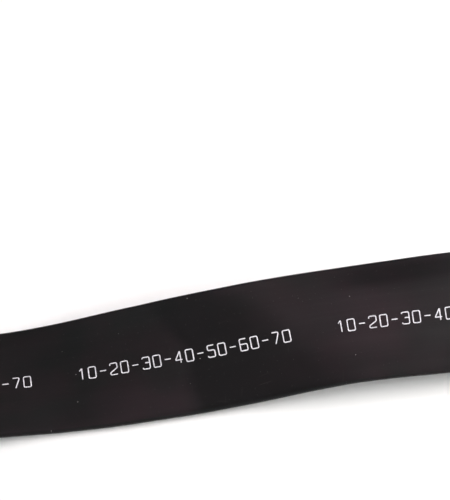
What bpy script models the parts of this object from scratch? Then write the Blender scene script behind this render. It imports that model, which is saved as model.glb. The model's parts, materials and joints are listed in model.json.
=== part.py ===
"""Heat shrink tube, 22 mm size: a one-foot piece of thin black tube, flattened as it is sold, lying in waves."""
import math

import bmesh
import bpy
import numpy as np

for old in list(bpy.data.objects):
    bpy.data.objects.remove(old)

# What the tube is made to, in metres
tube_length = 0.305
bore_when_round = 0.0230
wall = 0.00045

# How it lies flattened: the two walls stay a little apart and turn round in a half circle at each edge
flattened_height = 0.0020
edge_segments = 6
face_strips = 4

# How it waves: how high its two edges stand above the floor and how far it drifts to the side, in millimetres,
# one value every wave_spacing from left to right with the middle one at the tube's middle. A smooth curve passes
# near the values, and what stands lower than touching lies flat on the floor.
wave_spacing = 0.030
near_edge_lift = [0, 0, 4, 0, 0, 0.7, 6, 4.8, 5.3, 0, 0]
far_edge_lift = [0, 0, 0, 0, 10.3, 16.5, 12.2, 20.7, 17.5, 0, 0]
drift = [0.4, 0.4, 0.4, 0.4, -0.7, -0.3, 1.5, -1.1, -0.5, -0.5, -0.5]
touching = 0.0002
millimetre = 0.001

# A ring of points is set wherever the tube has bent or twisted by this much since the last one
turn_between_rings = math.radians(2.5)
longest_ring_gap = 0.012

# Walls are half the round tube's perimeter, less what the two edges use up
folded_middle = math.pi * (bore_when_round + wall)
lying_width = (folded_middle - math.pi * (flattened_height - wall)) / 2 + flattened_height


def follow(values, x):
    """Smooth curve (a uniform cubic B-spline) through evenly spaced values, level beyond the last of them."""
    values = np.array(values, float) * millimetre
    last = len(values) - 1
    place = x / wave_spacing + last / 2
    start = np.floor(place).astype(int)
    t = place - start
    before, here, after, next_after = (values[np.clip(start + step, 0, last)] for step in (-1, 0, 1, 2))
    return ((1 - t) ** 3 * before + (3 * t**3 - 6 * t**2 + 4) * here
            + (-3 * t**3 + 3 * t**2 + 3 * t + 1) * after + t**3 * next_after) / 6


def settle(lift):
    """Presses the lowest of a lift down to the floor, with a smooth start."""
    lying = np.where(lift < touching, 0.0, (lift - touching) ** 2 / (4 * touching))
    return np.where(lift > 3 * touching, lift - 2 * touching, lying)


def unit(vectors):
    return vectors / np.linalg.norm(vectors, axis=1)[:, None]


def lie_of_tube():
    """Fine steps along the tube: distance from its start, middle of the section, and directions across and out."""
    reach = tube_length * 0.55
    x = np.linspace(-reach, reach, 3001)
    near, far = settle(follow(near_edge_lift, x)), settle(follow(far_edge_lift, x))
    floor_line = np.stack([x, follow(drift, x), (near + far) / 2], axis=1)
    along = unit(np.gradient(floor_line, axis=0))
    level = unit(np.cross([0.0, 0.0, 1.0], along))
    roll = np.arcsin((far - near) / lying_width)[:, None]
    across = level * np.cos(roll) + np.cross(along, level) * np.sin(roll)
    out = np.cross(along, across)
    middle = floor_line + out * flattened_height / 2
    steps = np.linalg.norm(np.diff(middle, axis=0), axis=1)
    distance = np.concatenate([[0.0], np.cumsum(steps)])
    start = (distance[-1] - tube_length) / 2
    return distance - start, middle, across, out


def ring_places(distance, across, out):
    """Distances along the tube at which a ring of points is needed."""
    inside = np.nonzero((distance > 0) & (distance < tube_length))[0]
    turn = np.linalg.norm(np.diff(out, axis=0), axis=1) + np.linalg.norm(np.diff(across, axis=0), axis=1)
    places = [0.0]
    turned = 0.0
    for step in inside:
        turned += turn[step - 1]
        if turned > turn_between_rings or distance[step] - places[-1] > longest_ring_gap:
            places.append(distance[step])
            turned = 0.0
    if tube_length - places[-1] < longest_ring_gap / 4:
        places.pop()
    return places + [tube_length]


def section(width, height):
    """Closed outline of the flattened tube as (across, out) pairs: two flat faces and two half-round edges."""
    radius = height / 2
    straight = width / 2 - radius
    points = []
    for side in (1, -1):
        for step in range(edge_segments + 1):
            angle = -math.pi / 2 + math.pi * step / edge_segments
            points.append((side * (straight + radius * math.cos(angle)), side * radius * math.sin(angle)))
        for strip in range(1, face_strips):
            points.append((side * straight * (1 - 2 * strip / face_strips), side * radius))
    return points


def ring(bm, outline, distance, middle, across, out, place):
    centre, sideways, outward = (
        np.array([np.interp(place, distance, values[:, axis]) for axis in range(3)])
        for values in (middle, across, out))
    return [bm.verts.new(centre + sideways * u + outward * v) for u, v in outline]


def skin(bm, first, second):
    """Wall of quads between two rings."""
    count = len(first)
    for i in range(count):
        j = (i + 1) % count
        bm.faces.new((first[i], first[j], second[j], second[i]))


def flattened_tube(name):
    distance, middle, across, out = lie_of_tube()
    outside = section(lying_width, flattened_height)
    inside = section(lying_width - 2 * wall, flattened_height - 2 * wall)
    bm = bmesh.new()
    pairs = []
    for place in ring_places(distance, across, out):
        pairs.append([ring(bm, outline, distance, middle, across, out, place) for outline in (outside, inside)])
    for (outer, inner), (next_outer, next_inner) in zip(pairs, pairs[1:]):
        skin(bm, outer, next_outer)
        skin(bm, next_inner, inner)
    skin(bm, pairs[0][1], pairs[0][0])
    skin(bm, pairs[-1][0], pairs[-1][1])
    bmesh.ops.recalc_face_normals(bm, faces=bm.faces)
    points = np.array([v.co for v in bm.verts])
    low, high = points.min(axis=0), points.max(axis=0)
    bmesh.ops.translate(bm, verts=bm.verts, vec=(-(low[0] + high[0]) / 2, -(low[1] + high[1]) / 2, -low[2]))
    mesh = bpy.data.meshes.new(name)
    bm.to_mesh(mesh)
    bm.free()
    mesh.polygons.foreach_set("use_smooth", [True] * len(mesh.polygons))
    mesh.set_sharp_from_angle(angle=math.radians(50))
    tube = bpy.data.objects.new(name, mesh)
    bpy.context.scene.collection.objects.link(tube)
    return tube


def black_polyolefin():
    material = bpy.data.materials.new("black_polyolefin")
    material.use_nodes = True
    shader = material.node_tree.nodes["Principled BSDF"]
    shader.inputs["Base Color"].default_value = (0.012, 0.011, 0.012, 1)
    shader.inputs["Roughness"].default_value = 0.45
    return material


tube = flattened_tube("tube")
tube.data.materials.append(black_polyolefin())
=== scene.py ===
"""Looks of the flattened heat shrink tube, the white figures along it and the photograph's light."""

import json
import math

import bmesh
import bpy
import numpy as np
from mathutils import Matrix, Vector

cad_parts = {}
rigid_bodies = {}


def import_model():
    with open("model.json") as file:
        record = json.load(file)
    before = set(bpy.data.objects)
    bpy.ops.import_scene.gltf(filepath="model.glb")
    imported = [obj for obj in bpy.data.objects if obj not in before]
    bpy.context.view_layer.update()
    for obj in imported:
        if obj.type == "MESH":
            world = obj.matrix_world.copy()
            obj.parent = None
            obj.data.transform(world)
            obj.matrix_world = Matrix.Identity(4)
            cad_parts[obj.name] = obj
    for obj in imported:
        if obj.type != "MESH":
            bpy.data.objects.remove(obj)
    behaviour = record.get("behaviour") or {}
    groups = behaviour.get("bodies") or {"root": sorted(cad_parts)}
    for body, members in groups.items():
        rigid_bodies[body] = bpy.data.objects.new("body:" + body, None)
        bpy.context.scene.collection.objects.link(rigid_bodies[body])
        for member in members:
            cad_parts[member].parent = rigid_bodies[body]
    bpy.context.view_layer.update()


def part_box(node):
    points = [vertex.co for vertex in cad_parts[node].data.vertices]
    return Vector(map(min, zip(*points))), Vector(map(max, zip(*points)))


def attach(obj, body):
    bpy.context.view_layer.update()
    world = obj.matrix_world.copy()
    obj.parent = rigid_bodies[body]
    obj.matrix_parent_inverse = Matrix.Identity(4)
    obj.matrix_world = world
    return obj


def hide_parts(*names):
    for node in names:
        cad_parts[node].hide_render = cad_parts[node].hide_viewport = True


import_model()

# The lie. Heat shrink tube keeps the waves and the twist of the reel it was wound on, so the piece touches
# the floor at both ends and along its near edge, and rises between. It is the same curve as in the part's
# source: the lift of both edges and the drift to the side, in millimetres every 30 mm.
tube_length = 0.305
bore_when_round = 0.0230
wall = 0.00045
flattened_height = 0.0020
wave_spacing = 0.030
near_edge_lift = [0, 0, 4, 0, 0, 0.7, 6, 4.8, 5.3, 0, 0]
far_edge_lift = [0, 0, 0, 0, 10.3, 16.5, 12.2, 20.7, 17.5, 0, 0]
drift = [0.4, 0.4, 0.4, 0.4, -0.7, -0.3, 1.5, -1.1, -0.5, -0.5, -0.5]
touching = 0.0002
fine_steps, lie_steps = 3001, 900

# The lie goes on past both ends by this much, so that nothing at the cuts runs off it.
spare_lie = 0.006

# The middle of the wall stays as long a way round as it was when the tube was round.
lying_width = (math.pi * (bore_when_round + wall)
               - math.pi * (flattened_height - wall)) / 2 + flattened_height


def follow(values, x):
    """A smooth curve past the values, in millimetres every wave_spacing; the places x are centred."""
    values = np.array(values, float) * 0.001
    last = len(values) - 1
    place = x / wave_spacing + last / 2
    start = np.floor(place).astype(int)
    t = place - start
    before, here, after, next_after = (values[np.clip(start + step, 0, last)] for step in (-1, 0, 1, 2))
    return ((1 - t) ** 3 * before + (3 * t**3 - 6 * t**2 + 4) * here
            + (-3 * t**3 + 3 * t**2 + 3 * t + 1) * after + t**3 * next_after) / 6


def settle(lift):
    """Presses what would hang less than touching above the floor down onto it."""
    lying = np.where(lift < touching, 0.0, (lift - touching) ** 2 / (4 * touching))
    return np.where(lift > 3 * touching, lift - 2 * touching, lying)


def unit(vectors):
    """The vectors, each made one long."""
    return vectors / np.linalg.norm(vectors, axis=1)[:, None]


reach = 0.55 * tube_length
x = np.linspace(-reach, reach, fine_steps)
near, far = settle(follow(near_edge_lift, x)), settle(follow(far_edge_lift, x))
floor_line = np.stack([x, follow(drift, x), (near + far) / 2], axis=1)
along = unit(np.gradient(floor_line, axis=0))
level = unit(np.cross([0.0, 0.0, 1.0], along))
roll = np.arcsin((far - near) / lying_width)[:, None]
across = level * np.cos(roll) + np.cross(along, level) * np.sin(roll)
out = np.cross(along, across)
middle = floor_line + out * flattened_height / 2
walked = np.concatenate([[0.0], np.cumsum(np.linalg.norm(np.diff(middle, axis=0), axis=1))])
spare = (walked[-1] - tube_length) / 2
steps = np.linspace(spare - spare_lie, spare + tube_length + spare_lie, lie_steps)
middle, across, out = (np.stack([np.interp(steps, walked, v[:, axis]) for axis in range(3)], axis=1)
                       for v in (middle, across, out))

# The frame centres the part over its origin, so the lie is moved to where the tube's solid stands.
inside = (steps > spare) & (steps < spare + tube_length)
rims = np.concatenate([middle + across * lying_width / 2, middle - across * lying_width / 2])
rims = rims[np.tile(inside, 2)]
cad_low, cad_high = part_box("tube")
to_middle = [(cad_low[k] + cad_high[k] - rims[:, k].min() - rims[:, k].max()) / 2 for k in (0, 1)]
middle[:, :2] += to_middle
lie_mesh = bpy.data.meshes.new("lie")
lie_mesh.from_pydata(middle.tolist(), [(i, i + 1) for i in range(len(steps) - 1)], [])
for label, values in (("across", across), ("out", out)):
    lie_mesh.attributes.new(label, "FLOAT_VECTOR", "POINT").data.foreach_set("vector", values.ravel())
lie = bpy.data.objects.new("lie", lie_mesh)
bpy.context.scene.collection.objects.link(lie)


def put(tree, kind, inputs=(), **settings):
    """Adds a node to a tree, with its settings and its inputs: values, or sockets to be joined to."""
    made = tree.nodes.new(kind)
    for name, value in settings.items():
        setattr(made, name, value)
    for key, value in dict(inputs).items():
        if isinstance(value, bpy.types.NodeSocket):
            tree.links.new(value, made.inputs[key])
        else:
            made.inputs[key].default_value = value
    return made


def calc(tree, operation, *values):
    """One step of arithmetic in a tree; the answer's socket."""
    return put(tree, "ShaderNodeMath", enumerate(values), operation=operation).outputs[0]


def vector_calc(tree, operation, inputs):
    """One step of arithmetic with vectors in a tree; the answer's socket."""
    return put(tree, "ShaderNodeVectorMath", inputs, operation=operation).outputs[0]


def where(tree):
    """The X, Y and Z of every point that a tree works on."""
    return put(tree, "ShaderNodeSeparateXYZ", {0: put(tree, "GeometryNodeInputPosition").outputs[0]}).outputs


def joined(tree, *parts):
    """One vector out of its X, Y and Z, as many as are given."""
    return put(tree, "ShaderNodeCombineXYZ", enumerate(parts)).outputs[0]


def new_group(name, kind, sockets):
    """An empty node group with named sockets, its input node and its output node."""
    tree = bpy.data.node_groups.new(name, kind)
    for way, label, socket, *value in sockets:
        item = tree.interface.new_socket(label, in_out=way, socket_type="NodeSocket" + socket)
        if value:
            item.default_value = value[0]
    return tree, tree.nodes.new("NodeGroupInput"), tree.nodes.new("NodeGroupOutput")


# Lays anything that is made flat and straight onto the lie: X is the way along the tube, Y the way across it
# and Z the way out of its face.
onto_lie, given, done = new_group("Onto the Lie", "GeometryNodeTree", [
    ("INPUT", "Geometry", "Geometry"), ("INPUT", "Lie", "Object"),
    ("INPUT", "Spare Lie", "Float", spare_lie), ("OUTPUT", "Geometry", "Geometry")])
lie_there = put(onto_lie, "GeometryNodeObjectInfo", {"Object": given.outputs["Lie"]}).outputs["Geometry"]
lie_curve = put(onto_lie, "GeometryNodeMeshToCurve", {0: lie_there}).outputs[0]
flat = where(onto_lie)
way = calc(onto_lie, "ADD", flat[0], given.outputs["Spare Lie"])
laid = None
for label, stretch in (("across", flat[1]), ("out", flat[2])):
    direction = put(onto_lie, "GeometryNodeInputNamedAttribute", {"Name": label},
                    data_type="FLOAT_VECTOR").outputs[0]
    sample = put(onto_lie, "GeometryNodeSampleCurve", {
        "Curves": lie_curve, "Length": way, "Value": direction},
        mode="LENGTH", use_all_curves=True, data_type="FLOAT_VECTOR")
    pushed = vector_calc(onto_lie, "SCALE", {0: sample.outputs["Value"], "Scale": stretch})
    laid = vector_calc(onto_lie, "ADD", {0: laid or sample.outputs["Position"], 1: pushed})
moved = put(onto_lie, "GeometryNodeSetPosition", {"Geometry": given.outputs["Geometry"], "Position": laid})
onto_lie.links.new(moved.outputs[0], done.inputs[0])

# The wall's face. Flattened tube stays open in a small loop along each edge and sinks in between, and its
# faces are never quite flat. This gives how far a face stands out of the tube's middle, at any place of it.


def ramp(tree, value, start, end, low=0.0, high=1.0, smooth=False):
    """A value's way from start to end, stopped at both, as low to high."""
    return put(tree, "ShaderNodeMapRange", {
        "Value": value, "From Min": start, "From Max": end, "To Min": low, "To Max": high},
        interpolation_type="SMOOTHSTEP" if smooth else "LINEAR").outputs[0]


face, given, done = new_group("Face of the Tube", "GeometryNodeTree", [
    ("INPUT", "Way", "Float"), ("INPUT", "Across", "Float"), ("INPUT", "Side", "Float", 1.0),
    ("INPUT", "Lying Width", "Float", lying_width), ("INPUT", "Lying Height", "Float", flattened_height),
    ("INPUT", "Middle Sink", "Float", 0.28), ("INPUT", "Sink Width", "Float", 0.008),
    ("INPUT", "Unevenness", "Float", 0.00030), ("INPUT", "Swells in a Metre", "Float", 70.0),
    ("INPUT", "Swells Drawn Out", "Float", 0.7), ("INPUT", "Even Beside the Edge", "Float", 0.005),
    ("INPUT", "Other Side", "Float", 0.3), ("INPUT", "Seed", "Float", 86.7), ("OUTPUT", "Out", "Float")])
half_height = calc(face, "MULTIPLY", given.outputs["Lying Height"], 0.5)
straight = calc(face, "SUBTRACT", calc(face, "MULTIPLY", given.outputs["Lying Width"], 0.5), half_height)
from_edge = calc(face, "SUBTRACT", straight, calc(face, "ABSOLUTE", given.outputs["Across"]))
sunk = calc(face, "MULTIPLY", ramp(face, from_edge, 0.0, given.outputs["Sink Width"], smooth=True),
            given.outputs["Middle Sink"])
level_face = calc(face, "MULTIPLY", half_height, calc(face, "SUBTRACT", 1.0, sunk))
drawn_out = calc(face, "MULTIPLY", given.outputs["Way"], given.outputs["Swells Drawn Out"])
pattern = calc(face, "MULTIPLY_ADD", given.outputs["Side"], given.outputs["Other Side"],
               given.outputs["Seed"])
swell = put(face, "ShaderNodeTexNoise", {
    "Vector": joined(face, drawn_out, given.outputs["Across"], pattern),
    "Scale": given.outputs["Swells in a Metre"], "Detail": 1.0, "Roughness": 0.4}).outputs[0]
swell = calc(face, "MULTIPLY", calc(face, "SUBTRACT", swell, 0.5),
             calc(face, "MULTIPLY", given.outputs["Unevenness"], 2.0))
swell = calc(face, "MULTIPLY", swell,
             ramp(face, from_edge, 0.0, given.outputs["Even Beside the Edge"], smooth=True))
face.links.new(calc(face, "ADD", level_face, swell), done.inputs[0])

# The tube: one thin wall of cross-linked polyolefin, extruded round, blown up to its size, rolled flat and
# cut square at both ends. It is one skin: along the outside, round one cut, back along the bore and round
# the other. It keeps its own unrolled sheet as its UV map, in metres, and how deep it lies in the wall.


def stored(tree, geometry, name, value, kind, domain="POINT"):
    """Geometry that carries a value under a name."""
    return put(tree, "GeometryNodeStoreNamedAttribute", {"Geometry": geometry, "Name": name, "Value": value},
               data_type=kind, domain=domain).outputs[0]


def finish_tree(tree, made_flat, given, done):
    """Ends a tree: lays what it made flat onto the lie, makes it real and gives it its material."""
    lay = put(tree, "GeometryNodeGroup", {"Geometry": made_flat, "Lie": given.outputs["Lie"]},
              node_tree=onto_lie)
    real = put(tree, "GeometryNodeRealizeInstances", {0: lay.outputs[0]}).outputs[0]
    dressed = put(tree, "GeometryNodeSetMaterial", {
        "Geometry": real, "Material": given.outputs["Material"]}).outputs[0]
    tree.links.new(dressed, done.inputs[0])


def made_by(tree, name, values, sharp_angle=math.radians(40)):
    """The plain mesh that a geometry tree makes with these values, as an object of its own."""
    maker = bpy.data.objects.new(name + "_maker", bpy.data.meshes.new(name + "_maker"))
    bpy.context.scene.collection.objects.link(maker)
    modifier = maker.modifiers.new(name, "NODES")
    modifier.node_group = tree
    for item in tree.interface.items_tree:
        if item.in_out == "INPUT" and item.name in values:
            modifier[item.identifier] = values[item.name]
    bpy.context.view_layer.update()
    mesh = bpy.data.meshes.new_from_object(maker.evaluated_get(bpy.context.evaluated_depsgraph_get()))
    bpy.data.objects.remove(maker)
    mesh.name = name
    skins = bmesh.new()
    skins.from_mesh(mesh)
    bmesh.ops.recalc_face_normals(skins, faces=skins.faces)
    skins.to_mesh(mesh)
    skins.free()
    mesh.shade_smooth()
    mesh.set_sharp_from_angle(angle=sharp_angle)
    piece = bpy.data.objects.new(name, mesh)
    bpy.context.scene.collection.objects.link(piece)
    return piece


tube_tree, given, done = new_group("Flattened Tube", "GeometryNodeTree", [
    ("INPUT", "Geometry", "Geometry"), ("INPUT", "Lie", "Object"), ("INPUT", "Material", "Material"),
    ("INPUT", "Tube Length", "Float", tube_length), ("INPUT", "Wall", "Float", wall),
    ("INPUT", "Lying Width", "Float", lying_width), ("INPUT", "Lying Height", "Float", flattened_height),
    ("INPUT", "Edge Wander", "Float", 0.00012), ("INPUT", "Edge Bends in a Metre", "Float", 28.0),
    ("INPUT", "Cut Rounding", "Float", 0.00006), ("INPUT", "Cut Wander", "Float", 0.00025),
    ("INPUT", "Cut Bends in a Metre", "Float", 60.0), ("INPUT", "Seam", "Float", 0.000002),
    ("INPUT", "Steps Along", "Int", 240), ("INPUT", "Steps Through Wall", "Int", 3),
    ("INPUT", "Steps in a Quarter", "Int", 16), ("OUTPUT", "Geometry", "Geometry")])
length, width, height = (given.outputs[k] for k in ("Tube Length", "Lying Width", "Lying Height"))
rows, through = given.outputs["Steps Along"], given.outputs["Steps Through Wall"]
quarter_steps = given.outputs["Steps in a Quarter"]

# A flat grid: its rows follow one another along the tube and back, its columns round it in four quarters.
out_end = calc(tube_tree, "ADD", rows, through)
back_end = calc(tube_tree, "ADD", out_end, rows)
all_rows = calc(tube_tree, "ADD", back_end, through)
columns = calc(tube_tree, "MULTIPLY", quarter_steps, 4.0)
grid = put(tube_tree, "GeometryNodeMeshGrid", {
    "Size X": all_rows, "Size Y": columns, "Vertices X": calc(tube_tree, "ADD", all_rows, 1.0),
    "Vertices Y": calc(tube_tree, "ADD", columns, 1.0)}).outputs[0]
at = where(tube_tree)
row = calc(tube_tree, "ADD", at[0], calc(tube_tree, "MULTIPLY", all_rows, 0.5))
column = calc(tube_tree, "ADD", at[1], calc(tube_tree, "MULTIPLY", columns, 0.5))
turn = calc(tube_tree, "DIVIDE", column, quarter_steps)
outside, first_cut = ramp(tube_tree, row, 0.0, rows), ramp(tube_tree, row, rows, out_end)
bore, second_cut = ramp(tube_tree, row, out_end, back_end), ramp(tube_tree, row, back_end, all_rows)
near_loop, upper, far_loop, lower = (ramp(tube_tree, turn, quarter, quarter + 1.0) for quarter in range(4))
loops = calc(tube_tree, "ADD", near_loop, far_loop)
deep = calc(tube_tree, "SUBTRACT", first_cut, second_cut)
depth = calc(tube_tree, "MULTIPLY", deep, given.outputs["Wall"])
angle = calc(tube_tree, "MULTIPLY", calc(tube_tree, "ADD", loops, -0.5), math.pi)
side = calc(tube_tree, "SINE", angle)
edgeways = calc(tube_tree, "COSINE", angle)

# The unrolled sheet: the way round the tube and the way along its skin.
radius = calc(tube_tree, "MULTIPLY", height, 0.5)
half_flat = calc(tube_tree, "SUBTRACT", calc(tube_tree, "MULTIPLY", width, 0.5), radius)
round_loops = calc(tube_tree, "MULTIPLY", loops, calc(tube_tree, "MULTIPLY", radius, math.pi))
over_flats = calc(tube_tree, "MULTIPLY", calc(tube_tree, "ADD", upper, lower),
                  calc(tube_tree, "MULTIPLY", half_flat, 2.0))
round_way = calc(tube_tree, "ADD", round_loops, over_flats)
out_and_back = calc(tube_tree, "MULTIPLY", calc(tube_tree, "ADD", outside, bore), length)
through_cuts = calc(tube_tree, "MULTIPLY", calc(tube_tree, "ADD", first_cut, second_cut),
                    given.outputs["Wall"])
sheet_way = calc(tube_tree, "ADD", out_and_back, through_cuts)

# The way along the real tube: the cuts wander a little, mostly inwards, and bulge between their corners.
there = calc(tube_tree, "SUBTRACT", outside, bore)
to_end = calc(tube_tree, "SUBTRACT", there, 0.5)
cut_wander = put(tube_tree, "ShaderNodeTexNoise", {
    "W": round_way, "Scale": given.outputs["Cut Bends in a Metre"], "Detail": 2.0},
    noise_dimensions="1D").outputs[0]
cut_wander = calc(tube_tree, "MULTIPLY", calc(tube_tree, "SUBTRACT", cut_wander, 0.6),
                  calc(tube_tree, "MULTIPLY", given.outputs["Cut Wander"], 2.0))
bulge = calc(tube_tree, "MULTIPLY",
             calc(tube_tree, "MULTIPLY", deep, calc(tube_tree, "SUBTRACT", 1.0, deep)),
             calc(tube_tree, "MULTIPLY", given.outputs["Cut Rounding"], 8.0))
cut_length = calc(tube_tree, "ADD", length, calc(tube_tree, "ADD", cut_wander, bulge))
way = calc(tube_tree, "ADD", calc(tube_tree, "MULTIPLY", length, 0.5),
           calc(tube_tree, "MULTIPLY", to_end, cut_length))

# The way across: out along one face and back along the other, between edges that wander a little.
wander = put(tube_tree, "ShaderNodeTexNoise", {
    "W": way, "Scale": given.outputs["Edge Bends in a Metre"], "Detail": 1.0},
    noise_dimensions="1D").outputs[0]
wander = calc(tube_tree, "MULTIPLY", calc(tube_tree, "SUBTRACT", wander, 0.5),
              calc(tube_tree, "MULTIPLY", given.outputs["Edge Wander"], 4.0))
shuttle = calc(tube_tree, "MULTIPLY", calc(tube_tree, "SUBTRACT", lower, upper), 2.0)
shuttle = calc(tube_tree, "ADD", shuttle, 1.0)
on_flat = calc(tube_tree, "MULTIPLY", shuttle, calc(tube_tree, "ADD", half_flat, wander))
stands = put(tube_tree, "GeometryNodeGroup", {
    "Way": way, "Across": on_flat, "Side": side, "Lying Width": width, "Lying Height": height},
    node_tree=face)
across_flat = calc(tube_tree, "ADD", on_flat,
                   calc(tube_tree, "MULTIPLY", edgeways, calc(tube_tree, "SUBTRACT", radius, depth)))
out_flat = calc(tube_tree, "MULTIPLY", side, calc(tube_tree, "SUBTRACT", stands.outputs[0], depth))
for label, value, kind, domain in (
        ("UVMap", joined(tube_tree, sheet_way, round_way), "FLOAT2", "CORNER"),
        ("deep", deep, "FLOAT", "POINT"),
        ("loop", calc(tube_tree, "ABSOLUTE", edgeways), "FLOAT", "POINT")):
    grid = stored(tube_tree, grid, label, value, kind, domain)
placed = put(tube_tree, "GeometryNodeSetPosition", {
    "Geometry": grid, "Position": joined(tube_tree, way, across_flat, out_flat)}).outputs[0]
closed = put(tube_tree, "GeometryNodeMergeByDistance", {
    "Geometry": placed, "Distance": given.outputs["Seam"]}).outputs[0]
finish_tree(tube_tree, closed, given, done)

# Dust that settled on the tube: pale specks, few, of all sizes and uneven in shape, at any place of the
# sheet. The ink's pinholes are the same kind of speck, much closer together.
dust, given, done = new_group("Dust Specks", "ShaderNodeTree", [
    ("INPUT", "Place", "Vector"), ("INPUT", "Spacing", "Float", 0.008), ("INPUT", "Size", "Float", 0.00012),
    ("INPUT", "Share", "Float", 0.4), ("OUTPUT", "Specks", "Float")])
ragged = put(dust, "ShaderNodeTexNoise", {
    "Vector": given.outputs["Place"], "Scale": 5000.0, "Detail": 1.0}).outputs["Color"]
ragged = vector_calc(dust, "SCALE", {
    0: ragged, "Scale": calc(dust, "MULTIPLY", given.outputs["Size"], 1.6)})
ragged = vector_calc(dust, "ADD", {0: ragged, 1: given.outputs["Place"]})
cells = put(dust, "ShaderNodeTexVoronoi", {
    "Vector": ragged, "Scale": calc(dust, "DIVIDE", 1.0, given.outputs["Spacing"])},
    voronoi_dimensions="2D")
luck = put(dust, "ShaderNodeSeparateColor", {0: cells.outputs["Color"]})
reach = calc(dust, "MULTIPLY", given.outputs["Size"], calc(dust, "ADD", luck.outputs[0], 0.35))
far_off = calc(dust, "MULTIPLY", cells.outputs["Distance"], given.outputs["Spacing"])
speck = ramp(dust, far_off, calc(dust, "MULTIPLY", reach, 0.5), reach, 1.0, 0.0, smooth=True)
speck = calc(dust, "MULTIPLY", speck, calc(dust, "LESS_THAN", luck.outputs[1], given.outputs["Share"]))
dust.links.new(speck, done.inputs[0])

# Fine scratches from the bench and the reel: long thin marks that all lean about one way. Each cell of a
# drawn-out pattern has room for one mark, and the share says how many cells have theirs.
scratch, given, done = new_group("Fine Scratches", "ShaderNodeTree", [
    ("INPUT", "Place", "Vector"), ("INPUT", "Lean", "Float", 0.1), ("INPUT", "Length", "Float", 0.012),
    ("INPUT", "Width", "Float", 0.00006), ("INPUT", "Share", "Float", 0.1),
    ("OUTPUT", "Scratches", "Float")])
bend = put(scratch, "ShaderNodeTexNoise", {
    "Vector": given.outputs["Place"], "Scale": 60.0, "Detail": 0.0}).outputs[0]
bent_lean = calc(scratch, "ADD", given.outputs["Lean"], ramp(scratch, bend, 0.3, 0.7, -0.02, 0.02))
leant = put(scratch, "ShaderNodeVectorRotate", {"Vector": given.outputs["Place"], "Angle": bent_lean},
            rotation_type="Z_AXIS").outputs[0]
leant = put(scratch, "ShaderNodeSeparateXYZ", {0: leant}).outputs
cell_width = calc(scratch, "MULTIPLY", given.outputs["Width"], 6.0)
drawn_out = joined(scratch, calc(scratch, "DIVIDE", leant[0], given.outputs["Length"]),
                   calc(scratch, "DIVIDE", leant[1], cell_width))
cells = put(scratch, "ShaderNodeTexVoronoi", {"Vector": drawn_out, "Scale": 1.0}, voronoi_dimensions="2D")
luck = put(scratch, "ShaderNodeSeparateColor", {0: cells.outputs["Color"]})
line = ramp(scratch, cells.outputs["Distance"], 0.03, 0.14, 1.0, 0.0, smooth=True)
line = calc(scratch, "MULTIPLY", line,
            calc(scratch, "LESS_THAN", luck.outputs[1], given.outputs["Share"]))
line = calc(scratch, "MULTIPLY", line, calc(scratch, "ADD", luck.outputs[0], 0.3))
scratch.links.new(line, done.inputs[0])

# Black polyolefin: nearly black with a brown cast, satin, with the long streaks that the die leaves, cloudy
# and of uneven gloss, with painted shade and painted sheen in its colour and coat, without gloss round the
# folded edges, duller in the bore and rough where the blade went through.


def noise(tree, place, stretch, **values):
    """Noise over a place that is stretched first: so many of its waves in a metre, each way."""
    scaled = vector_calc(tree, "MULTIPLY", {0: place, 1: stretch})
    return put(tree, "ShaderNodeTexNoise", {"Vector": scaled, "Scale": 1.0, **values}).outputs[0]


def marks(tree, group, place, **values):
    """The dust or the scratches at a place, with their spacing, size and share."""
    return put(tree, "ShaderNodeGroup", {"Place": place, **values}, node_tree=group).outputs[0]


def blend(tree, share, first, second):
    """Two colours, mixed by a share."""
    mixed = put(tree, "ShaderNodeMix", {"Factor": share}, data_type="RGBA")
    for socket, colour in zip((mixed.inputs[6], mixed.inputs[7]), (first, second)):
        if isinstance(colour, bpy.types.NodeSocket):
            tree.links.new(colour, socket)
        else:
            socket.default_value = (*colour, 1)
    return mixed.outputs[2]


def band(tree, value, rise, fall):
    """How far a value is inside a band that begins smoothly along rise and ends along fall."""
    return calc(tree, "MULTIPLY", ramp(tree, value, *rise, smooth=True),
                ramp(tree, value, *fall, 1.0, 0.0, smooth=True))


black = bpy.data.materials.new("black_polyolefin")
black.use_nodes = True
skin = black.node_tree
shader = skin.nodes["Principled BSDF"]
sheet = put(skin, "ShaderNodeUVMap", uv_map="UVMap").outputs[0]
along_sheet, round_sheet = put(skin, "ShaderNodeSeparateXYZ", {0: sheet}).outputs[:2]
deep = put(skin, "ShaderNodeAttribute", attribute_name="deep").outputs["Fac"]
loop = put(skin, "ShaderNodeAttribute", attribute_name="loop").outputs["Fac"]
cut = ramp(skin, calc(skin, "MULTIPLY", deep, calc(skin, "SUBTRACT", 1.0, deep)), 0.0, 0.2)
cloud = noise(skin, sheet, (38, 55, 0), Detail=3.0, Roughness=0.55)
cast = noise(skin, sheet, (75, 110, 3), Detail=2.0, Roughness=0.5)
fine_streaks = noise(skin, sheet, (9, 2600, 0), Detail=3.0, Roughness=0.6)
broad_streaks = noise(skin, sheet, (4, 330, 0), Detail=2.0, Roughness=0.5)
satin = noise(skin, sheet, (9000, 9000, 0), Detail=2.0, Roughness=0.6)
knife_marks = noise(skin, sheet, (15000, 350, 7), Detail=2.0, Roughness=0.5)
specks = marks(skin, dust, sheet, Spacing=0.0095, Size=0.00015, Share=0.42)
fine_dust = marks(skin, dust, sheet, Spacing=0.0021, Size=0.00005, Share=0.5)
dusty = calc(skin, "MAXIMUM", specks, calc(skin, "MULTIPLY", fine_dust, 0.4))
scraped = calc(skin, "MAXIMUM",
               marks(skin, scratch, sheet, Lean=0.06, Length=0.022, Width=0.00005, Share=0.05),
               marks(skin, scratch, sheet, Lean=1.35, Length=0.009, Width=0.00005, Share=0.012))
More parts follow.
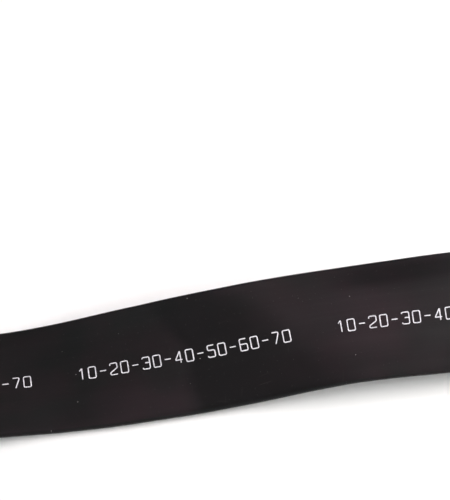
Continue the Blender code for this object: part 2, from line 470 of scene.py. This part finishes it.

# Painted shade: a slanting patch where the tube starts to rise, with less brown cast and without gloss,
# fainter towards the far edge. It starts and ends on two slanting, slightly wavy lines across the upper
# face.
wavy_way = calc(skin, "MULTIPLY_ADD", calc(skin, "SUBTRACT", cloud, 0.5), 0.014, along_sheet)
starts = calc(skin, "MULTIPLY_ADD", calc(skin, "MINIMUM", round_sheet, 0.017), -0.6, wavy_way)
ends = calc(skin, "MULTIPLY_ADD", round_sheet, -0.9, wavy_way)
painted_dull_patch = calc(skin, "MULTIPLY", ramp(skin, starts, 0.1210, 0.1285, smooth=True),
            ramp(skin, ends, 0.139, 0.159, 1.0, 0.0, smooth=True))
painted_dull_patch = calc(skin, "MULTIPLY", painted_dull_patch, ramp(skin, round_sheet, 0.002, 0.015, 0.4, 1.0))

# The brown cast is weakened in the painted shade of the dull patch.
brown = calc(skin, "MULTIPLY", ramp(skin, cast, 0.36, 0.64), calc(skin, "MULTIPLY_ADD", painted_dull_patch, -0.8, 1.0))
colour = blend(skin, brown, (0.0050, 0.0056, 0.0055), (0.0088, 0.0052, 0.0062))
colour = blend(skin, ramp(skin, cloud, 0.35, 0.65, 0.0, 0.5), colour, (0.0058, 0.0056, 0.0068))
colour = blend(skin, cut, colour, (0.0140, 0.0130, 0.0128))
colour = blend(skin, calc(skin, "MULTIPLY", scraped, 0.6), colour, (0.060, 0.056, 0.055))
colour = blend(skin, dusty, colour, (0.50, 0.48, 0.46))
skin.links.new(colour, shader.inputs["Base Color"])

rough = calc(skin, "ADD", ramp(skin, cloud, 0.3, 0.7, 0.32, 0.42),
             ramp(skin, broad_streaks, 0.3, 0.7, -0.02, 0.02))
rough = calc(skin, "ADD", rough, ramp(skin, fine_streaks, 0.3, 0.7, -0.02, 0.03))
rough = calc(skin, "ADD", rough, calc(skin, "MULTIPLY", deep, 0.14))
rough = calc(skin, "MAXIMUM", rough, calc(skin, "MULTIPLY", cut, 0.62))
rough = calc(skin, "MAXIMUM", rough, calc(skin, "MULTIPLY", calc(skin, "MAXIMUM", dusty, scraped), 0.8))
skin.links.new(rough, shader.inputs["Roughness"])

# The gloss is a thin coat. Besides the painted dull patch, it carries a painted sheen, stronger on the open
# face further right, and a painted shade, weaker on a line beside the far edge there. All three are placed
# where the photograph is darker and lighter.
plain_gloss, painted_sheen_gloss, painted_dark_line_gloss = 0.44, 0.42, 0.28
# Painted sheen and painted shade on the right stretch: a band of painted sheen across the open face and a
# painted dark line beside the far edge.
painted_sheen_stretch = band(skin, along_sheet, (0.172, 0.192), (0.225, 0.255))
painted_sheen_band = band(skin, round_sheet, (0.008, 0.013), (0.025, 0.034))
painted_dark_line = band(skin, round_sheet, (0.0025, 0.005), (0.007, 0.0105))
gloss = calc(skin, "SUBTRACT", calc(skin, "MULTIPLY", painted_sheen_band, painted_sheen_gloss),
             calc(skin, "MULTIPLY", painted_dark_line, painted_dark_line_gloss))
gloss = calc(skin, "MULTIPLY_ADD", painted_sheen_stretch, gloss,
             calc(skin, "MULTIPLY_ADD", painted_dull_patch, -plain_gloss, plain_gloss))
gloss = calc(skin, "MULTIPLY", gloss, ramp(skin, loop, 0.1, 0.6, 1.0, 0.0))
gloss = calc(skin, "MULTIPLY", gloss, ramp(skin, fine_streaks, 0.3, 0.7, 0.93, 1.06))
gloss = calc(skin, "MULTIPLY", gloss, ramp(skin, broad_streaks, 0.3, 0.7, 0.95, 1.05))
spoilt = calc(skin, "MAXIMUM", calc(skin, "MAXIMUM", cut, calc(skin, "MULTIPLY", deep, 0.7)),
              calc(skin, "MAXIMUM", dusty, scraped))
gloss = calc(skin, "MULTIPLY", gloss, calc(skin, "SUBTRACT", 1.0, spoilt))
skin.links.new(gloss, shader.inputs["Coat Weight"])
shader.inputs["Coat Roughness"].default_value = 0.37
shader.inputs["Specular IOR Level"].default_value = 0.28

relief = calc(skin, "ADD", calc(skin, "MULTIPLY", broad_streaks, 0.5),
              calc(skin, "MULTIPLY", fine_streaks, 0.16))
relief = calc(skin, "ADD", relief, calc(skin, "MULTIPLY", satin, 0.04))
relief = calc(skin, "SUBTRACT", relief, calc(skin, "MULTIPLY", scraped, 0.2))
relief = calc(skin, "ADD", relief, calc(skin, "MULTIPLY", calc(skin, "MULTIPLY", knife_marks, cut), 1.2))
bump = put(skin, "ShaderNodeBump", {"Height": relief, "Strength": 1.0, "Distance": 0.00003})
skin.links.new(bump.outputs[0], shader.inputs["Normal"])

tube = made_by(tube_tree, "tube_wall", {"Lie": lie, "Material": black})
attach(tube, "root")
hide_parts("tube")

# The figures. Such tube carries a line of white marking ink down the middle of one face, over and over.
# Here it is plain figures, ten to seventy, with a dash between, rolled on in strokes of even width with
# round ends.
figure_width, figure_height, stroke_width = 0.00215, 0.0036, 0.00034
run_length, marks_to_next_run, marks_to_each_ten = 0.0791, 24, 3
figure_strokes = [
    [[(0, 0), (1, 0), (1, 1), (0, 1), (0, 0)]],
    [[(0.24, 0.76), (0.62, 1)], [(0.62, 1), (0.62, 0)]],
    [[(0, 0.8), (0, 1), (1, 1), (1, 0.56), (0, 0.2), (0, 0), (1, 0)]],
    [[(0, 0.86), (0, 1), (1, 1), (1, 0), (0, 0), (0, 0.14)], [(0.35, 0.53), (1, 0.53)]],
    [[(0.74, 0), (0.74, 1)], [(0.74, 1), (0, 0.27)], [(0, 0.27), (1, 0.27)]],
    [[(0.97, 1), (0.04, 1), (0.04, 0.58), (1, 0.58), (1, 0), (0, 0), (0, 0.14)]],
    [[(0.92, 1), (0, 1), (0, 0), (1, 0), (1, 0.55), (0, 0.55)]],
    [[(0, 1), (1, 1), (0.36, 0)]],
    [[(0.04, 0.5), (0.96, 0.5)]]]
dash_number = len(figure_strokes) - 1
figures = bpy.data.collections.new("figures")
for number, strokes in enumerate(figure_strokes):
    drawn = bpy.data.curves.new(f"figure_{number}", "CURVE")
    drawn.dimensions = "3D"
    for stroke in strokes:
        closes = stroke[0] == stroke[-1]
        spline = drawn.splines.new("POLY")
        spline.points.add(len(stroke) - 1 - closes)
        spline.use_cyclic_u = closes
        for point, (right, up) in zip(spline.points, stroke):
            point.co = ((right - 0.5) * figure_width, (up - 0.5) * figure_height, 0, 1)
    figures.objects.link(bpy.data.objects.new(f"figure_{number}", drawn))

figure_tree, given, done = new_group("Line of Figures", "GeometryNodeTree", [
    ("INPUT", "Geometry", "Geometry"), ("INPUT", "Lie", "Object"), ("INPUT", "Figures", "Collection"),
    ("INPUT", "Material", "Material"), ("INPUT", "Tube Length", "Float", tube_length),
    ("INPUT", "Figure Pitch", "Float", run_length / marks_to_next_run),
    ("INPUT", "First Figure", "Float", 0.02350), ("INPUT", "Off Middle", "Float", -0.0003),
    ("INPUT", "Marks in a Run", "Int", 20), ("INPUT", "Marks to the Next Run", "Int", marks_to_next_run),
    ("INPUT", "Marks to Each Ten", "Int", marks_to_each_ten), ("INPUT", "Dash", "Int", dash_number),
    ("INPUT", "Stroke Width", "Float", stroke_width), ("INPUT", "Stroke Sides", "Int", 6),
    ("INPUT", "Stroke Step", "Float", 0.00012), ("INPUT", "Corner Radius", "Float", 0.00042),
    ("INPUT", "Corner Steps", "Int", 6), ("INPUT", "Ink Thickness", "Float", 0.00003),
    ("OUTPUT", "Geometry", "Geometry")])
pitch, next_run = given.outputs["Figure Pitch"], given.outputs["Marks to the Next Run"]
each_ten = given.outputs["Marks to Each Ten"]

# One point for each mark, from a run before the tube's start. Those in the gap after a run go, and so do
# those that would hang over a cut.
count = calc(figure_tree, "FLOOR", calc(figure_tree, "DIVIDE", given.outputs["Tube Length"], pitch))
start = calc(figure_tree, "SUBTRACT", given.outputs["First Figure"],
             calc(figure_tree, "MULTIPLY", pitch, next_run))
line = put(figure_tree, "GeometryNodeMeshLine", {
    "Count": calc(figure_tree, "ADD", count, next_run),
    "Start Location": joined(figure_tree, start, given.outputs["Off Middle"]),
    "Offset": joined(figure_tree, pitch)}, mode="OFFSET").outputs[0]
place = calc(figure_tree, "MODULO", put(figure_tree, "GeometryNodeInputIndex").outputs[0], next_run)
spot = where(figure_tree)
last_mark = calc(figure_tree, "SUBTRACT", given.outputs["Marks in a Run"], 0.5)
gap = calc(figure_tree, "GREATER_THAN", place, last_mark)
off_left = calc(figure_tree, "LESS_THAN", spot[0], pitch)
off_right = calc(figure_tree, "GREATER_THAN", spot[0],
                 calc(figure_tree, "SUBTRACT", given.outputs["Tube Length"], pitch))
dropped = calc(figure_tree, "MAXIMUM", gap, calc(figure_tree, "MAXIMUM", off_left, off_right))

# Which figure a mark is: the ten's own, a nought after it, then the dash.
tens = calc(figure_tree, "FLOOR", calc(
    figure_tree, "DIVIDE", calc(figure_tree, "ADD", place, 0.5), each_ten))
third = calc(figure_tree, "SUBTRACT", place, calc(figure_tree, "MULTIPLY", tens, each_ten))
ten = calc(figure_tree, "MULTIPLY", calc(figure_tree, "LESS_THAN", third, 0.5),
           calc(figure_tree, "ADD", tens, 1.0))
dash = calc(figure_tree, "MULTIPLY", calc(figure_tree, "GREATER_THAN", third, 1.5), given.outputs["Dash"])
which = stored(figure_tree, line, "which", calc(figure_tree, "ADD", ten, dash), "INT")
which = put(figure_tree, "GeometryNodeDeleteGeometry", {"Geometry": which, "Selection": dropped}).outputs[0]
drawings = put(figure_tree, "GeometryNodeCollectionInfo", {
    "Collection": given.outputs["Figures"], "Separate Children": True, "Reset Children": True}).outputs[0]
picked = put(figure_tree, "GeometryNodeInputNamedAttribute", {"Name": "which"}, data_type="INT").outputs[0]
stamped = put(figure_tree, "GeometryNodeInstanceOnPoints", {
    "Points": which, "Instance": drawings, "Pick Instance": True, "Instance Index": picked}).outputs[0]

# The strokes: corners rounded, steps made even, and a film of ink along them that narrows round at its ends.
strokes = put(figure_tree, "GeometryNodeRealizeInstances", {0: stamped}).outputs[0]
rounded = put(figure_tree, "GeometryNodeFilletCurve", {
    "Curve": strokes, "Count": given.outputs["Corner Steps"], "Radius": given.outputs["Corner Radius"],
    "Limit Radius": True}, mode="POLY").outputs[0]
even = put(figure_tree, "GeometryNodeResampleCurve", {
    "Curve": rounded, "Length": given.outputs["Stroke Step"]}, mode="LENGTH").outputs[0]
half_stroke = calc(figure_tree, "MULTIPLY", given.outputs["Stroke Width"], 0.5)
from_start = put(figure_tree, "GeometryNodeSplineParameter").outputs["Length"]
to_end = calc(figure_tree, "SUBTRACT", put(figure_tree, "GeometryNodeSplineLength").outputs[0], from_start)
closed_stroke = put(figure_tree, "GeometryNodeInputSplineCyclic").outputs[0]
near_end = calc(figure_tree, "ADD", calc(figure_tree, "MINIMUM", from_start, to_end), closed_stroke)
inward = calc(figure_tree, "SUBTRACT", 1.0, ramp(figure_tree, near_end, 0.0, half_stroke))

# The ends of a stroke stay a hair wide, so that it doesn't close to a point there.
just_over_one = 1.0002
thick = calc(figure_tree, "SQRT", calc(
    figure_tree, "SUBTRACT", just_over_one, calc(figure_tree, "MULTIPLY", inward, inward)))
profile = put(figure_tree, "GeometryNodeCurvePrimitiveCircle", {
    "Resolution": given.outputs["Stroke Sides"], "Radius": half_stroke}, mode="RADIUS").outputs[0]
solid = put(figure_tree, "GeometryNodeCurveToMesh", {
    "Curve": even, "Profile Curve": profile, "Scale": thick, "Fill Caps": True}).outputs[0]

# The film is pressed onto the face. Its UV map is the way along the tube and across it, in metres.
spot = where(figure_tree)
solid = stored(figure_tree, solid, "UVMap", joined(figure_tree, spot[0], spot[1]), "FLOAT2", "CORNER")
stands = put(figure_tree, "GeometryNodeGroup", {"Way": spot[0], "Across": spot[1]}, node_tree=face)
thinned = calc(figure_tree, "MULTIPLY", spot[2],
               calc(figure_tree, "DIVIDE", given.outputs["Ink Thickness"], half_stroke))
pressed = put(figure_tree, "GeometryNodeSetPosition", {
    "Geometry": solid, "Position": joined(
        figure_tree, spot[0], spot[1], calc(figure_tree, "ADD", thinned, stands.outputs[0]))}).outputs[0]
finish_tree(figure_tree, pressed, given, done)

# White marking ink: a thin matt film with a lilac cast, mottled where it took unevenly, with pinholes that
# let the black through and scratches like the tube's.
ink = bpy.data.materials.new("white_marking_ink")
ink.use_nodes = True
film = ink.node_tree
shader = film.nodes["Principled BSDF"]
sheet = put(film, "ShaderNodeUVMap", uv_map="UVMap").outputs[0]
mottle = noise(film, sheet, (1500, 1500, 0), Detail=3.0, Roughness=0.6)
uptake = noise(film, sheet, (160, 90, 0), Detail=1.0)
pinholes = marks(film, dust, sheet, Spacing=0.0004, Size=0.00006, Share=0.25)
scraped = marks(film, scratch, sheet, Lean=0.06, Length=0.022, Width=0.00005, Share=0.08)
bare = calc(film, "MAXIMUM", calc(film, "MULTIPLY", pinholes, 0.7), calc(film, "MULTIPLY", scraped, 0.5))
colour = blend(film, ramp(film, mottle, 0.3, 0.7), (0.68, 0.67, 0.71), (0.90, 0.88, 0.93))
colour = blend(film, ramp(film, uptake, 0.4, 0.75, 0.0, 0.25), colour, (0.56, 0.55, 0.59))
colour = blend(film, bare, colour, (0.02, 0.019, 0.02))
film.links.new(colour, shader.inputs["Base Color"])
film.links.new(ramp(film, mottle, 0.3, 0.7, 0.60, 0.48), shader.inputs["Roughness"])
relief = calc(film, "SUBTRACT", mottle, calc(film, "MULTIPLY", bare, 0.8))
bump = put(film, "ShaderNodeBump", {"Height": relief, "Strength": 1.0, "Distance": 0.00001})
film.links.new(bump.outputs[0], shader.inputs["Normal"])

marking = made_by(figure_tree, "marking", {"Lie": lie, "Figures": figures, "Material": ink})
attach(marking, "root")
for drawn in list(figures.objects):
    bpy.data.objects.remove(drawn)
bpy.data.objects.remove(lie)

# The table that the tube lies on: white, matt and much larger than the photograph's view, so that none of
# its edges show there.
floor_reach = 8
corners = [(right * floor_reach, up * floor_reach, 0) for right, up in ((-1, -1), (1, -1), (1, 1), (-1, 1))]
floor_mesh = bpy.data.meshes.new("floor")
floor_mesh.from_pydata(corners, [], [(0, 1, 2, 3)])
floor = bpy.data.objects.new("floor", floor_mesh)
bpy.context.scene.collection.objects.link(floor)
white = bpy.data.materials.new("white_table")
white.use_nodes = True
shader = white.node_tree.nodes["Principled BSDF"]
shader.inputs["Base Color"].default_value = (0.97, 0.97, 0.97, 1)
shader.inputs["Roughness"].default_value = 0.8
floor_mesh.materials.append(white)

# The photograph's light: two soft boxes close by on the right, a wide one far off on the left, a weak one in
# front and a faint pink strip overhead that the tube mirrors, in a dim room. Each has its place, its size,
# the turn of its long side in degrees, its strength and its tint.
for name, place, size, long_side, energy, tint in (
        ("right_box", (0.517, 0.054, 0.338), (0.80, 0.36), 96, 7.1, (1.0, 0.98, 0.95)),
        ("far_right_box", (0.635, 0.533, 0.559), (1.0, 0.5), 130, 2.2, (1.0, 0.72, 0.86)),
        ("left_box", (-4.00, -0.62, 2.00), (5.2, 1.5), 82, 140, (0.93, 1.0, 1.0)),
        ("front_box", (0.0, -3.50, 2.80), (3.0, 2.0), 0, 16, (1.0, 1.0, 1.0)),
        ("overhead_strip", (0.0, 0.0, 0.6), (0.28, 0.12), -50, 0.11, (1.0, 0.55, 0.72))):
    lamp = bpy.data.lights.new(name, "AREA")
    lamp.shape = "RECTANGLE"
    lamp.size, lamp.size_y = size
    lamp.energy = energy
    lamp.color = tint
    box = bpy.data.objects.new(name, lamp)
    box.location = place
    facing = Vector(place).normalized()
    sideways = Vector((math.cos(math.radians(long_side)), math.sin(math.radians(long_side)), 0))
    sideways = (sideways - facing * sideways.dot(facing)).normalized()
    box.rotation_euler = Matrix((sideways, facing.cross(sideways), facing)).transposed().to_euler()
    box.visible_camera = False
    bpy.context.scene.collection.objects.link(box)
world = bpy.data.worlds.new("room")
world.use_nodes = True
world.node_tree.nodes["Background"].inputs["Color"].default_value = (1.0, 1.0, 1.0, 1)
world.node_tree.nodes["Background"].inputs["Strength"].default_value = 0.08
bpy.context.scene.world = world
bpy.context.scene.view_settings.view_transform = "Standard"

# The camera, looking down on the tube from a little to the left, as the photograph does. The frame's longer
# side, its height, takes the whole sensor.
lens = bpy.data.cameras.new("camera")
camera = bpy.data.objects.new("camera", lens)
bpy.context.scene.collection.objects.link(camera)
azimuth, elevation, distance = math.radians(-8.64), math.radians(57.0), 0.700
pixels_per_metre, pixels_high, sensor = 3225, 500, 36
target = Vector((0.0 + to_middle[0], 0.03602 + to_middle[1], 0.005))
back = Vector((math.sin(azimuth) * math.cos(elevation), -math.cos(azimuth) * math.cos(elevation),
               math.sin(elevation)))
camera.location = target + back * distance
camera.rotation_euler = back.to_track_quat("Z", "Y").to_euler()
lens.sensor_width = sensor
lens.lens = pixels_per_metre * distance * sensor / pixels_high
bpy.context.scene.camera = camera
